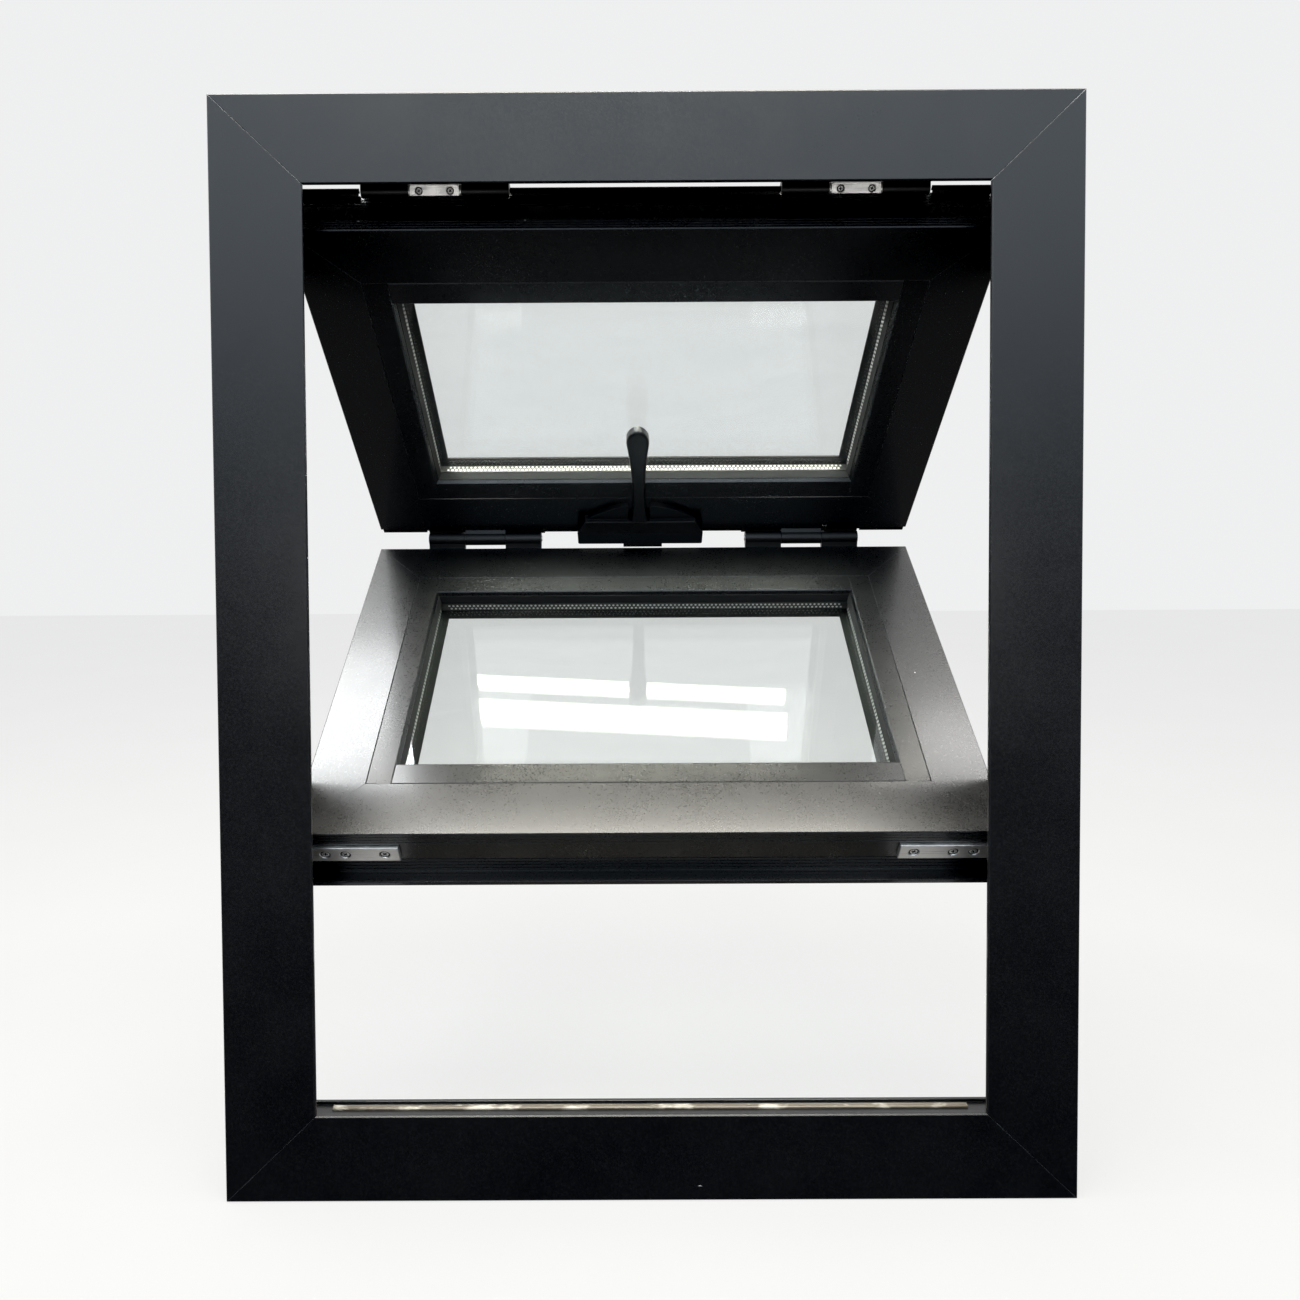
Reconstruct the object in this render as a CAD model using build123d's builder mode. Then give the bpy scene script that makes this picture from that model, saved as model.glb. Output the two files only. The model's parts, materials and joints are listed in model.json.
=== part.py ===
from build123d import *
import os
from math import sin, cos, radians, degrees, hypot, atan2, acos

os.makedirs("parts", exist_ok=True)

# Fold-up window, seen from the room: an aluminium frame, a top-hung upper sash
# and a lower sash that hangs on it and is guided in the side jambs.
# Millimetres.  X to the right, Y from the room to the outside, Z up.
# The origin lies on the underside of the sill, at mid width and mid depth.

# --- frame -------------------------------------------------------------------
WIDTH = 700.0          # over the jambs
HEIGHT = 900.0         # over sill and head
DEPTH = 64.0           # room face to outside face
FACE_SIDE = 74.5       # room-side face of a jamb
FACE_HEAD = 71.25      # room-side face of head and sill
FLANGE = 7.0           # thickness of the flange the sashes close against
BODY_HEAD = 45.0       # box behind the flange, head and sill
BODY_SIDE = BODY_HEAD * FACE_SIDE / FACE_HEAD
MITRE = 0.1            # each mitre face is set back this much
TRACK_W = 12.0         # guide track in the jambs
TRACK_D = 14.0
TRACK_Y = 35.0         # track centre behind the room face
Y_IN = -DEPTH / 2
Y_OUT = DEPTH / 2

# --- sashes ------------------------------------------------------------------
SASH_W = 602.0
SASH_H = 388.0
SASH_D = 59.5
RAIL = 53.0            # visible rail width
BEAD = 23.0            # visible bead width
FOLD_GAP = 22.0        # between the sashes when the window is shut
LAND = 14.0            # plain strip of the edge next to the room face
CHANNEL = 1.5          # depth of the hardware channel behind it
GLASS_N = 14.0         # room face of the sash to the glass
PANE = 5.0
CAVITY = 9.0
HALF = SASH_W / 2
BEAD_GAP = 0.2         # joint between cross bead and side bead

# --- pose: part-way raised ------------------------------------------------------
INNER_Y = Y_IN + 10.0                      # room face of the sashes when shut
SASH_TOP = HEIGHT - FACE_HEAD + 20.0
SASH_BOT = SASH_TOP - 2 * SASH_H - FOLD_GAP
HINGE_Y = INNER_Y + 60.5                   # head hinge axis
HINGE_Z = SASH_TOP - 2.2
OPEN = radians(50.5)                       # swing of the upper sash
FOLD_IN = 5.0                              # fold axis, room side of the faces
FOLD_W = FOLD_GAP / 2
PLATE_N = 25.0                             # guide plate, from the room face
PIN_W = -0.5                               # guide pin, past the bottom edge


def turned(y, z, cy, cz, a):
    dy, dz = y - cy, z - cz
    return cy + dy * cos(a) - dz * sin(a), cz + dy * sin(a) + dz * cos(a)


# fold axis shut and open
fold_shut = (INNER_Y - FOLD_IN, SASH_TOP - SASH_H - FOLD_W)
fold = turned(*fold_shut, HINGE_Y, HINGE_Z, OPEN)
# the guide pin stays in the track, which gives the lower sash its lean
reach_y = INNER_Y + PLATE_N - fold_shut[0]
reach_z = fold_shut[1] - (SASH_BOT + PIN_W)
LEAN = acos((Y_IN + TRACK_Y - fold[0]) / hypot(reach_y, reach_z)) - atan2(reach_z, reach_y)

upper_top = turned(INNER_Y, SASH_TOP, HINGE_Y, HINGE_Z, OPEN)
lower_shut_top = (INNER_Y, SASH_BOT + SASH_H)
lower_dy = lower_shut_top[0] - fold_shut[0]
lower_dz = lower_shut_top[1] - fold_shut[1]
lower_top = (
    fold[0] + lower_dy * cos(LEAN) + lower_dz * sin(LEAN),
    fold[1] - lower_dy * sin(LEAN) + lower_dz * cos(LEAN),
)

X = Vector(1, 0, 0)
U_OUT = Vector(0, cos(OPEN), sin(OPEN))
U_UP = Vector(0, -sin(OPEN), cos(OPEN))
U_O = Vector(0, *upper_top)
L_OUT = Vector(0, cos(LEAN), -sin(LEAN))
L_UP = Vector(0, sin(LEAN), cos(LEAN))
L_O = Vector(0, *lower_top)

# section planes (x outward, y up), stile planes (x right, y outward),
# face planes (x right, y up, z to the room)
U_SECTION = Plane(origin=U_O, x_dir=U_OUT, z_dir=X)
U_STILE = Plane(origin=U_O, x_dir=X, z_dir=U_UP)
U_FACE = Plane(origin=U_O, x_dir=X, z_dir=-U_OUT)
L_SECTION = Plane(origin=L_O, x_dir=L_OUT, z_dir=X)
L_STILE = Plane(origin=L_O, x_dir=X, z_dir=L_UP)
L_FACE = Plane(origin=L_O, x_dir=X, z_dir=-L_OUT)

# mitre planes of the sashes; the rails lie on the + side
M = MITRE
U_TL = Plane(origin=U_O - X * HALF, z_dir=X + U_UP)
U_TR = Plane(origin=U_O + X * HALF, z_dir=-X + U_UP)
U_BL = Plane(origin=U_O - X * HALF - U_UP * SASH_H, z_dir=X - U_UP)
U_BR = Plane(origin=U_O + X * HALF - U_UP * SASH_H, z_dir=-X - U_UP)
L_TL = Plane(origin=L_O - X * HALF, z_dir=X + L_UP)
L_TR = Plane(origin=L_O + X * HALF, z_dir=-X + L_UP)
L_BL = Plane(origin=L_O - X * HALF - L_UP * SASH_H, z_dir=X - L_UP)
L_BR = Plane(origin=L_O + X * HALF - L_UP * SASH_H, z_dir=-X - L_UP)

# --- sash sections: (depth from the room face, distance from the outer edge) ----
EDGE_RIBS = [
    (0, 0.8), (0.8, 0),
    (3.6, 0), (3.6, 0.7), (4.5, 0.7), (4.5, 0),
    (7.3, 0), (7.3, 0.7), (8.2, 0.7), (8.2, 0),
    (11.0, 0), (11.0, 0.7), (11.9, 0.7), (11.9, 0),
    (LAND, 0), (LAND, CHANNEL),
    (36.5, 1.5), (36.5, 2.6), (38.0, 2.6), (38.0, 1.5),
    (41.0, 1.5), (41.0, 2.6), (42.5, 2.6), (42.5, 1.5),
    (45.5, 1.5), (45.5, 2.6), (47.0, 2.6), (47.0, 1.5),
    (50.0, 1.5), (50.0, 2.6), (51.5, 2.6), (51.5, 1.5),
]
OUTER_CORNER = [(54.0, 1.5), (54.0, 0), (SASH_D - 0.6, 0), (SASH_D, 0.6)]
GLASS_OUT = GLASS_N + 2 * PANE + CAVITY    # outside of the glass unit
LIP_N = GLASS_OUT + 2.0                    # outer glazing lip
LIP_W = 86.0
DRIP_LIP = [(54.7, 1.5), (54.7, -9.4), (55.3, -10.0), (SASH_D - 0.6, -10.0), (SASH_D, -9.4)]
GLAZING = [
    (SASH_D, 60.0), (LIP_N + 1.5, LIP_W - 1.5), (LIP_N, LIP_W), (LIP_N, 58.0),
    (GLASS_N, 58.0), (GLASS_N, RAIL), (0.5, RAIL), (0, RAIL - 0.5),
]
PLAIN = EDGE_RIBS + OUTER_CORNER + GLAZING
DRIP = EDGE_RIBS + DRIP_LIP + GLAZING

BEAD_FULL = [
    (0.5, RAIL + 0.1), (0, RAIL + 0.6), (1.0, 74.4), (1.8, 75.6), (5.5, 77.4), (5.5, 75.5), (11.0, 75.5),
    (11.0, 58.0), (GLASS_N, 58.0), (GLASS_N, RAIL + 0.1),
]
BEAD_TOP = [
    (0.5, RAIL + 0.1), (0, RAIL + 0.6), (1.0, 74.4), (1.8, 75.6), (5.5, 77.4), (5.5, 75.5), (11.0, 75.5),
    (11.0, RAIL + 0.1),
]
BEAD_FOOT = [(11.0, RAIL + 0.1), (GLASS_N, RAIL + 0.1), (GLASS_N, 58.0), (11.0, 58.0)]

# --- frame sections: (distance from the outer edge, depth from the room face) ---
HEAD_SECTION = [
    (0.8, 0), (FACE_HEAD - 0.9, 0), (FACE_HEAD, 0.9), (FACE_HEAD, 3.6),
    (FACE_HEAD - 1.2, 4.2), (FACE_HEAD - 1.2, FLANGE), (BODY_HEAD, FLANGE),
    (BODY_HEAD, DEPTH), (0, DEPTH), (0, 0.8),
]
SILL_SECTION = HEAD_SECTION[:7] + [
    (BODY_HEAD, DEPTH - 3.2), (BODY_HEAD + 2.4, DEPTH - 3.2), (BODY_HEAD + 2.8, DEPTH - 2.8),
    (BODY_HEAD + 2.8, DEPTH - 0.4), (BODY_HEAD + 2.4, DEPTH), (0, DEPTH), (0, 0.8),
]
SIDE_SECTION = [
    (0.8, 0), (FACE_SIDE - 0.9, 0), (FACE_SIDE, 0.9), (FACE_SIDE, 3.6),
    (FACE_SIDE - 1.2, 4.2), (FACE_SIDE - 1.2, FLANGE), (BODY_SIDE, FLANGE),
    (BODY_SIDE, TRACK_Y - TRACK_W / 2), (BODY_SIDE - TRACK_D, TRACK_Y - TRACK_W / 2),
    (BODY_SIDE - TRACK_D, TRACK_Y + TRACK_W / 2), (BODY_SIDE, TRACK_Y + TRACK_W / 2),
    (BODY_SIDE, DEPTH), (0, DEPTH), (0, 0.8),
]
# mitre planes of the frame, through the outer and the inner corner of the face;
# head and sill lie on the - side
m_len = hypot(FACE_SIDE, FACE_HEAD)
F_BR = Plane(origin=(WIDTH / 2, 0, 0), z_dir=(FACE_HEAD, 0, FACE_SIDE))
F_BL = Plane(origin=(-WIDTH / 2, 0, 0), z_dir=(-FACE_HEAD, 0, FACE_SIDE))
F_TR = Plane(origin=(WIDTH / 2, 0, HEIGHT), z_dir=(FACE_HEAD, 0, -FACE_SIDE))
F_TL = Plane(origin=(-WIDTH / 2, 0, HEIGHT), z_dir=(-FACE_HEAD, 0, -FACE_SIDE))

# --- hardware --------------------------------------------------------------------
HEAD_HINGE_X = 182.0
FOLD_HINGE_X = 181.5
KNUCKLE = 41.0         # outer knuckles
KNUCKLE_MID = 45.5     # middle knuckle
KNUCKLE_GAP = 0.5
HINGE_LEN = 2 * KNUCKLE + KNUCKLE_MID + 2 * KNUCKLE_GAP
HEAD_R = 6.5
FOLD_R = 7.25
PIN_R = 2.8
BORE_R = 3.0
NOTCH_X = FOLD_HINGE_X + KNUCKLE_MID / 2 + 3.0   # gap in the upper leaf beside the middle knuckle
HANDLE_X = -3.75
BASE_W = 141.0
BASE_P = 17.7
PLATE_W = 18.0
PLATE_T = 4.0
PLATE_IN = 212.0       # inner end of a guide plate
PLATE_END = 302.0
SCREWS_X = (224.5, 258.0, 275.0)

# =============================== frame ============================================
with BuildPart() as frame_sill:
    with BuildSketch(Plane.YZ):
        with BuildLine():
            Polyline(*[(Y_IN + d, w) for w, d in SILL_SECTION], close=True)
        make_face()
    extrude(amount=WIDTH / 2, both=True)
    split(bisect_by=F_BR.offset(-MITRE), keep=Keep.BOTTOM)
    split(bisect_by=F_BL.offset(-MITRE), keep=Keep.BOTTOM)
frame_sill.part.label = "frame_sill"
export_step(frame_sill.part, "parts/frame_sill.step")

with BuildPart() as frame_head:
    with BuildSketch(Plane.YZ):
        with BuildLine():
            Polyline(*[(Y_IN + d, HEIGHT - w) for w, d in HEAD_SECTION], close=True)
        make_face()
    extrude(amount=WIDTH / 2, both=True)
    split(bisect_by=F_TR.offset(-MITRE), keep=Keep.BOTTOM)
    split(bisect_by=F_TL.offset(-MITRE), keep=Keep.BOTTOM)
frame_head.part.label = "frame_head"
export_step(frame_head.part, "parts/frame_head.step")

with BuildPart() as frame_right_jamb:
    with BuildSketch(Plane.XY):
        with BuildLine():
            Polyline(*[(WIDTH / 2 - w, Y_IN + d) for w, d in SIDE_SECTION], close=True)
        make_face()
    extrude(amount=HEIGHT)
    split(bisect_by=F_BR.offset(MITRE), keep=Keep.TOP)
    split(bisect_by=F_TR.offset(MITRE), keep=Keep.TOP)
frame_right_jamb.part.label = "frame_right_jamb"
export_step(frame_right_jamb.part, "parts/frame_right_jamb.step")

with BuildPart() as frame_left_jamb:
    mirror(frame_right_jamb.part, about=Plane.YZ)
frame_left_jamb.part.label = "frame_left_jamb"
export_step(frame_left_jamb.part, "parts/frame_left_jamb.step")

# rubber strips on the back of the flange, cut square at the corners
with BuildPart() as frame_gasket:
    with BuildSketch(Plane.XZ.offset(-(Y_IN + FLANGE))):
        with Locations((0, 62), (0, HEIGHT - 62)):
            Rectangle(578, 8)
        with Locations((-285, HEIGHT / 2), (285, HEIGHT / 2)):
            Rectangle(8, HEIGHT - 132.6)
    extrude(amount=-2.7)
frame_gasket.part.label = "frame_gasket"
export_step(frame_gasket.part, "parts/frame_gasket.step")

# seal rail on the sill floor
with BuildPart() as sill_seal:
    with BuildSketch(Plane.YZ):
        with BuildLine():
            Polyline((20.0, BODY_HEAD), (25.4, BODY_HEAD), (25.4, BODY_HEAD + 1.2),
                     (24.6, BODY_HEAD + 2.0), (20.8, BODY_HEAD + 2.0),
                     (20.0, BODY_HEAD + 1.2), close=True)
        make_face()
    extrude(amount=278, both=True)
sill_seal.part.label = "sill_seal"
export_step(sill_seal.part, "parts/sill_seal.step")

# =============================== upper sash =======================================
with BuildPart() as upper_top_rail:
    with BuildSketch(U_SECTION):
        with BuildLine():
            Polyline(*[(n, -w) for n, w in PLAIN], close=True)
        make_face()
    extrude(amount=HALF, both=True)
    split(bisect_by=U_TL.offset(M), keep=Keep.TOP)
    split(bisect_by=U_TR.offset(M), keep=Keep.TOP)
    # seats for the head hinge barrels in the outer corner, run out at both ends
    for hx in (-HEAD_HINGE_X, HEAD_HINGE_X):
        with BuildSketch(Plane(origin=(hx, HINGE_Y, HINGE_Z), x_dir=(0, 1, 0), z_dir=X)):
            Circle(HEAD_R + 0.6)
        extrude(amount=HINGE_LEN / 2 + 1, both=True, mode=Mode.SUBTRACT)
        with Locations(Plane(origin=(hx + HINGE_LEN / 2 + 1, HINGE_Y, HINGE_Z), z_dir=X),
                       Plane(origin=(hx - HINGE_LEN / 2 - 1, HINGE_Y, HINGE_Z), z_dir=-X)):
            Cone(HEAD_R + 0.6, 2.0, 5.0, align=(Align.CENTER, Align.CENTER, Align.MIN), mode=Mode.SUBTRACT)
        with BuildSketch(U_SECTION.offset(hx)):
            with BuildLine():
                Polyline((52.8, -CHANNEL), (53.9, -CHANNEL), (60.0, -2.2), (60.0, 7.0), (52.8, 7.0), close=True)
            make_face()
        extrude(amount=21.5, both=True, mode=Mode.SUBTRACT)
upper_top_rail.part.label = "upper_top_rail"
export_step(upper_top_rail.part, "parts/upper_top_rail.step")

with BuildPart() as upper_bottom_rail:
    with BuildSketch(U_SECTION):
        with BuildLine():
            Polyline(*[(n, w - SASH_H) for n, w in DRIP], close=True)
        make_face()
    extrude(amount=HALF, both=True)
    split(bisect_by=U_BL.offset(M), keep=Keep.TOP)
    split(bisect_by=U_BR.offset(M), keep=Keep.TOP)
    # small notch beside the right fold hinge
    with BuildSketch(U_FACE):
        with Locations((NOTCH_X, -SASH_H + 1.7)):
            Rectangle(5.0, 5.4)
    extrude(amount=-5.0, mode=Mode.SUBTRACT)
upper_bottom_rail.part.label = "upper_bottom_rail"
export_step(upper_bottom_rail.part, "parts/upper_bottom_rail.step")

with BuildPart() as upper_left_stile:
    with BuildSketch(U_STILE):
        with BuildLine():
            Polyline(*[(w - HALF, n) for n, w in PLAIN], close=True)
        make_face()
    extrude(amount=-SASH_H)
    split(bisect_by=U_TL.offset(-M), keep=Keep.BOTTOM)
    split(bisect_by=U_BL.offset(-M), keep=Keep.BOTTOM)
upper_left_stile.part.label = "upper_left_stile"
export_step(upper_left_stile.part, "parts/upper_left_stile.step")

with BuildPart() as upper_right_stile:
    mirror(upper_left_stile.part, about=Plane.YZ)
upper_right_stile.part.label = "upper_right_stile"
export_step(upper_right_stile.part, "parts/upper_right_stile.step")

with BuildPart() as upper_left_bead:
    with BuildSketch(U_STILE.offset(-(RAIL + 0.1))):
        with BuildLine():
            Polyline(*[(w - HALF, n) for n, w in BEAD_FULL], close=True)
        make_face()
    extrude(amount=-(SASH_H - 2 * RAIL - 0.2))
upper_left_bead.part.label = "upper_left_bead"
export_step(upper_left_bead.part, "parts/upper_left_bead.step")

with BuildPart() as upper_right_bead:
    mirror(upper_left_bead.part, about=Plane.YZ)
upper_right_bead.part.label = "upper_right_bead"
export_step(upper_right_bead.part, "parts/upper_right_bead.step")

# the cross beads are coped against the side beads
with BuildPart() as upper_top_bead:
    with BuildSketch(U_SECTION):
        with BuildLine():
            Polyline(*[(n, -w) for n, w in BEAD_TOP], close=True)
        make_face()
    extrude(amount=HALF - 75.7, both=True)
    with BuildSketch(U_SECTION):
        with BuildLine():
            Polyline(*[(n, -w) for n, w in BEAD_FOOT], close=True)
        make_face()
    extrude(amount=HALF - 79.6, both=True)
    add(upper_left_bead.part, mode=Mode.SUBTRACT)
    add(upper_right_bead.part, mode=Mode.SUBTRACT)
    add(upper_left_bead.part.moved(Location((BEAD_GAP, 0, 0))), mode=Mode.SUBTRACT)
    add(upper_right_bead.part.moved(Location((-BEAD_GAP, 0, 0))), mode=Mode.SUBTRACT)
upper_top_bead.part.label = "upper_top_bead"
export_step(upper_top_bead.part, "parts/upper_top_bead.step")

with BuildPart() as upper_bottom_bead:
    with BuildSketch(U_SECTION):
        with BuildLine():
            Polyline(*[(n, w - SASH_H) for n, w in BEAD_TOP], close=True)
        make_face()
    extrude(amount=HALF - 75.7, both=True)
    with BuildSketch(U_SECTION):
        with BuildLine():
            Polyline(*[(n, w - SASH_H) for n, w in BEAD_FOOT], close=True)
        make_face()
    extrude(amount=HALF - 79.6, both=True)
    add(upper_left_bead.part, mode=Mode.SUBTRACT)
    add(upper_right_bead.part, mode=Mode.SUBTRACT)
    add(upper_left_bead.part.moved(Location((BEAD_GAP, 0, 0))), mode=Mode.SUBTRACT)
    add(upper_right_bead.part.moved(Location((-BEAD_GAP, 0, 0))), mode=Mode.SUBTRACT)
upper_bottom_bead.part.label = "upper_bottom_bead"
export_step(upper_bottom_bead.part, "parts/upper_bottom_bead.step")

with BuildPart() as upper_inner_pane:
    with BuildSketch(U_FACE.offset(-GLASS_N)):
        with Locations((0, -SASH_H / 2)):
            Rectangle(SASH_W - 117, SASH_H - 117)
    extrude(amount=-PANE)
upper_inner_pane.part.label = "upper_inner_pane"
export_step(upper_inner_pane.part, "parts/upper_inner_pane.step")

with BuildPart() as upper_outer_pane:
    with BuildSketch(U_FACE.offset(-(GLASS_N + PANE + CAVITY))):
        with Locations((0, -SASH_H / 2)):
            Rectangle(SASH_W - 117, SASH_H - 117)
    extrude(amount=-PANE)
upper_outer_pane.part.label = "upper_outer_pane"
export_step(upper_outer_pane.part, "parts/upper_outer_pane.step")

# spacer bar and edge seal between the panes
with BuildPart() as upper_spacer:
    with BuildSketch(U_FACE.offset(-(GLASS_N + PANE))):
        with Locations((0, -SASH_H / 2)):
            Rectangle(SASH_W - 118, SASH_H - 118)
            Rectangle(SASH_W - 157, SASH_H - 157, mode=Mode.SUBTRACT)
    extrude(amount=-CAVITY)
upper_spacer.part.label = "upper_spacer"
export_step(upper_spacer.part, "parts/upper_spacer.step")

# rubber between bead and glass, and between glass and outer lip
with BuildPart() as upper_glazing_gaskets:
    with BuildSketch(U_FACE.offset(-5.6)):
        with Locations((0, -SASH_H / 2)):
            Rectangle(SASH_W - 151.2, SASH_H - 151.2)
    extrude(amount=-6)
    with BuildSketch(U_FACE.offset(-11)):
        with Locations((0, -SASH_H / 2)):
            Rectangle(SASH_W - 116.2, SASH_H - 116.2)
    extrude(amount=-3)
    # sloped towards the glass
    with BuildSketch(Plane(origin=U_O - U_UP * (SASH_H / 2) + U_OUT * 5.6, x_dir=X, z_dir=U_OUT)):
        Rectangle(SASH_W - 155.8, SASH_H - 155.8)
    extrude(amount=8.4, taper=14.7, mode=Mode.SUBTRACT)
    with BuildSketch(U_FACE.offset(-GLASS_OUT)):
        with Locations((0, -SASH_H / 2)):
            Rectangle(SASH_W - 116.2, SASH_H - 116.2)
            Rectangle(SASH_W - 2 * LIP_W - 2, SASH_H - 2 * LIP_W - 2, mode=Mode.SUBTRACT)
    extrude(amount=-2)
upper_glazing_gaskets.part.label = "upper_glazing_gaskets"
export_step(upper_glazing_gaskets.part, "parts/upper_glazing_gaskets.step")

# rubber fins on the rear land of the top rail, rubber lips under the bottom rail;
# both stop short of the hinges
with BuildPart() as upper_weather_seals:
    for x0, x1 in ((-299.0, -246.8), (-117.2, 117.2), (246.8, 299.0)):
        with BuildSketch(U_SECTION.offset(x0)):
            with Locations((54.9, 2.1)):
                Rectangle(1.4, 4.2)
        extrude(amount=x1 - x0)
    for x0, x1 in ((-298.5, -249.0), (-114.0, 114.0), (249.0, 298.5)):
        with BuildSketch(U_SECTION.offset(x0)):
            with BuildLine():
                Polyline((0.9, -SASH_H), (3.4, -SASH_H), (3.4, -SASH_H - 5.6), (2.6, -SASH_H - 6.6),
                         (1.7, -SASH_H - 6.6), (0.9, -SASH_H - 5.6), close=True)
            make_face()
        extrude(amount=x1 - x0)
upper_weather_seals.part.label = "upper_weather_seals"
export_step(upper_weather_seals.part, "parts/upper_weather_seals.step")

# =============================== lower sash =======================================
with BuildPart() as lower_top_rail:
    with BuildSketch(L_SECTION):
        with BuildLine():
            Polyline(*[(n, -w) for n, w in PLAIN], close=True)
        make_face()
    extrude(amount=HALF, both=True)
    split(bisect_by=L_TL.offset(M), keep=Keep.TOP)
    split(bisect_by=L_TR.offset(M), keep=Keep.TOP)
lower_top_rail.part.label = "lower_top_rail"
export_step(lower_top_rail.part, "parts/lower_top_rail.step")

with BuildPart() as lower_bottom_rail:
    with BuildSketch(L_SECTION):
        with BuildLine():
            Polyline(*[(n, w - SASH_H) for n, w in DRIP], close=True)
        make_face()
    extrude(amount=HALF, both=True)
    split(bisect_by=L_BL.offset(M), keep=Keep.TOP)
    split(bisect_by=L_BR.offset(M), keep=Keep.TOP)
lower_bottom_rail.part.label = "lower_bottom_rail"
export_step(lower_bottom_rail.part, "parts/lower_bottom_rail.step")

with BuildPart() as lower_left_stile:
    with BuildSketch(L_STILE):
        with BuildLine():
            Polyline(*[(w - HALF, n) for n, w in PLAIN], close=True)
        make_face()
    extrude(amount=-SASH_H)
    split(bisect_by=L_TL.offset(-M), keep=Keep.BOTTOM)
    split(bisect_by=L_BL.offset(-M), keep=Keep.BOTTOM)
lower_left_stile.part.label = "lower_left_stile"
export_step(lower_left_stile.part, "parts/lower_left_stile.step")

with BuildPart() as lower_right_stile:
    mirror(lower_left_stile.part, about=Plane.YZ)
lower_right_stile.part.label = "lower_right_stile"
export_step(lower_right_stile.part, "parts/lower_right_stile.step")

with BuildPart() as lower_left_bead:
    with BuildSketch(L_STILE.offset(-(RAIL + 0.1))):
        with BuildLine():
            Polyline(*[(w - HALF, n) for n, w in BEAD_FULL], close=True)
        make_face()
    extrude(amount=-(SASH_H - 2 * RAIL - 0.2))
lower_left_bead.part.label = "lower_left_bead"
export_step(lower_left_bead.part, "parts/lower_left_bead.step")

with BuildPart() as lower_right_bead:
    mirror(lower_left_bead.part, about=Plane.YZ)
lower_right_bead.part.label = "lower_right_bead"
export_step(lower_right_bead.part, "parts/lower_right_bead.step")

with BuildPart() as lower_top_bead:
    with BuildSketch(L_SECTION):
        with BuildLine():
            Polyline(*[(n, -w) for n, w in BEAD_TOP], close=True)
        make_face()
    extrude(amount=HALF - 75.7, both=True)
    with BuildSketch(L_SECTION):
        with BuildLine():
            Polyline(*[(n, -w) for n, w in BEAD_FOOT], close=True)
        make_face()
    extrude(amount=HALF - 79.6, both=True)
    add(lower_left_bead.part, mode=Mode.SUBTRACT)
    add(lower_right_bead.part, mode=Mode.SUBTRACT)
    add(lower_left_bead.part.moved(Location((BEAD_GAP, 0, 0))), mode=Mode.SUBTRACT)
    add(lower_right_bead.part.moved(Location((-BEAD_GAP, 0, 0))), mode=Mode.SUBTRACT)
lower_top_bead.part.label = "lower_top_bead"
export_step(lower_top_bead.part, "parts/lower_top_bead.step")

with BuildPart() as lower_bottom_bead:
    with BuildSketch(L_SECTION):
        with BuildLine():
            Polyline(*[(n, w - SASH_H) for n, w in BEAD_TOP], close=True)
        make_face()
    extrude(amount=HALF - 75.7, both=True)
    with BuildSketch(L_SECTION):
        with BuildLine():
            Polyline(*[(n, w - SASH_H) for n, w in BEAD_FOOT], close=True)
        make_face()
    extrude(amount=HALF - 79.6, both=True)
    add(lower_left_bead.part, mode=Mode.SUBTRACT)
    add(lower_right_bead.part, mode=Mode.SUBTRACT)
    add(lower_left_bead.part.moved(Location((BEAD_GAP, 0, 0))), mode=Mode.SUBTRACT)
    add(lower_right_bead.part.moved(Location((-BEAD_GAP, 0, 0))), mode=Mode.SUBTRACT)
lower_bottom_bead.part.label = "lower_bottom_bead"
export_step(lower_bottom_bead.part, "parts/lower_bottom_bead.step")

with BuildPart() as lower_inner_pane:
    with BuildSketch(L_FACE.offset(-GLASS_N)):
        with Locations((0, -SASH_H / 2)):
            Rectangle(SASH_W - 117, SASH_H - 117)
    extrude(amount=-PANE)
lower_inner_pane.part.label = "lower_inner_pane"
export_step(lower_inner_pane.part, "parts/lower_inner_pane.step")

with BuildPart() as lower_outer_pane:
    with BuildSketch(L_FACE.offset(-(GLASS_N + PANE + CAVITY))):
        with Locations((0, -SASH_H / 2)):
            Rectangle(SASH_W - 117, SASH_H - 117)
    extrude(amount=-PANE)
lower_outer_pane.part.label = "lower_outer_pane"
export_step(lower_outer_pane.part, "parts/lower_outer_pane.step")

with BuildPart() as lower_spacer:
    with BuildSketch(L_FACE.offset(-(GLASS_N + PANE))):
        with Locations((0, -SASH_H / 2)):
            Rectangle(SASH_W - 118, SASH_H - 118)
            Rectangle(SASH_W - 157, SASH_H - 157, mode=Mode.SUBTRACT)
    extrude(amount=-CAVITY)
lower_spacer.part.label = "lower_spacer"
export_step(lower_spacer.part, "parts/lower_spacer.step")

with BuildPart() as lower_glazing_gaskets:
    with BuildSketch(L_FACE.offset(-5.6)):
        with Locations((0, -SASH_H / 2)):
            Rectangle(SASH_W - 151.2, SASH_H - 151.2)
    extrude(amount=-6)
    with BuildSketch(L_FACE.offset(-11)):
        with Locations((0, -SASH_H / 2)):
            Rectangle(SASH_W - 116.2, SASH_H - 116.2)
    extrude(amount=-3)
    # sloped towards the glass
    with BuildSketch(Plane(origin=L_O - L_UP * (SASH_H / 2) + L_OUT * 5.6, x_dir=X, z_dir=L_OUT)):
        Rectangle(SASH_W - 155.8, SASH_H - 155.8)
    extrude(amount=8.4, taper=14.7, mode=Mode.SUBTRACT)
    with BuildSketch(L_FACE.offset(-GLASS_OUT)):
        with Locations((0, -SASH_H / 2)):
            Rectangle(SASH_W - 116.2, SASH_H - 116.2)
            Rectangle(SASH_W - 2 * LIP_W - 2, SASH_H - 2 * LIP_W - 2, mode=Mode.SUBTRACT)
    extrude(amount=-2)
lower_glazing_gaskets.part.label = "lower_glazing_gaskets"
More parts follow.
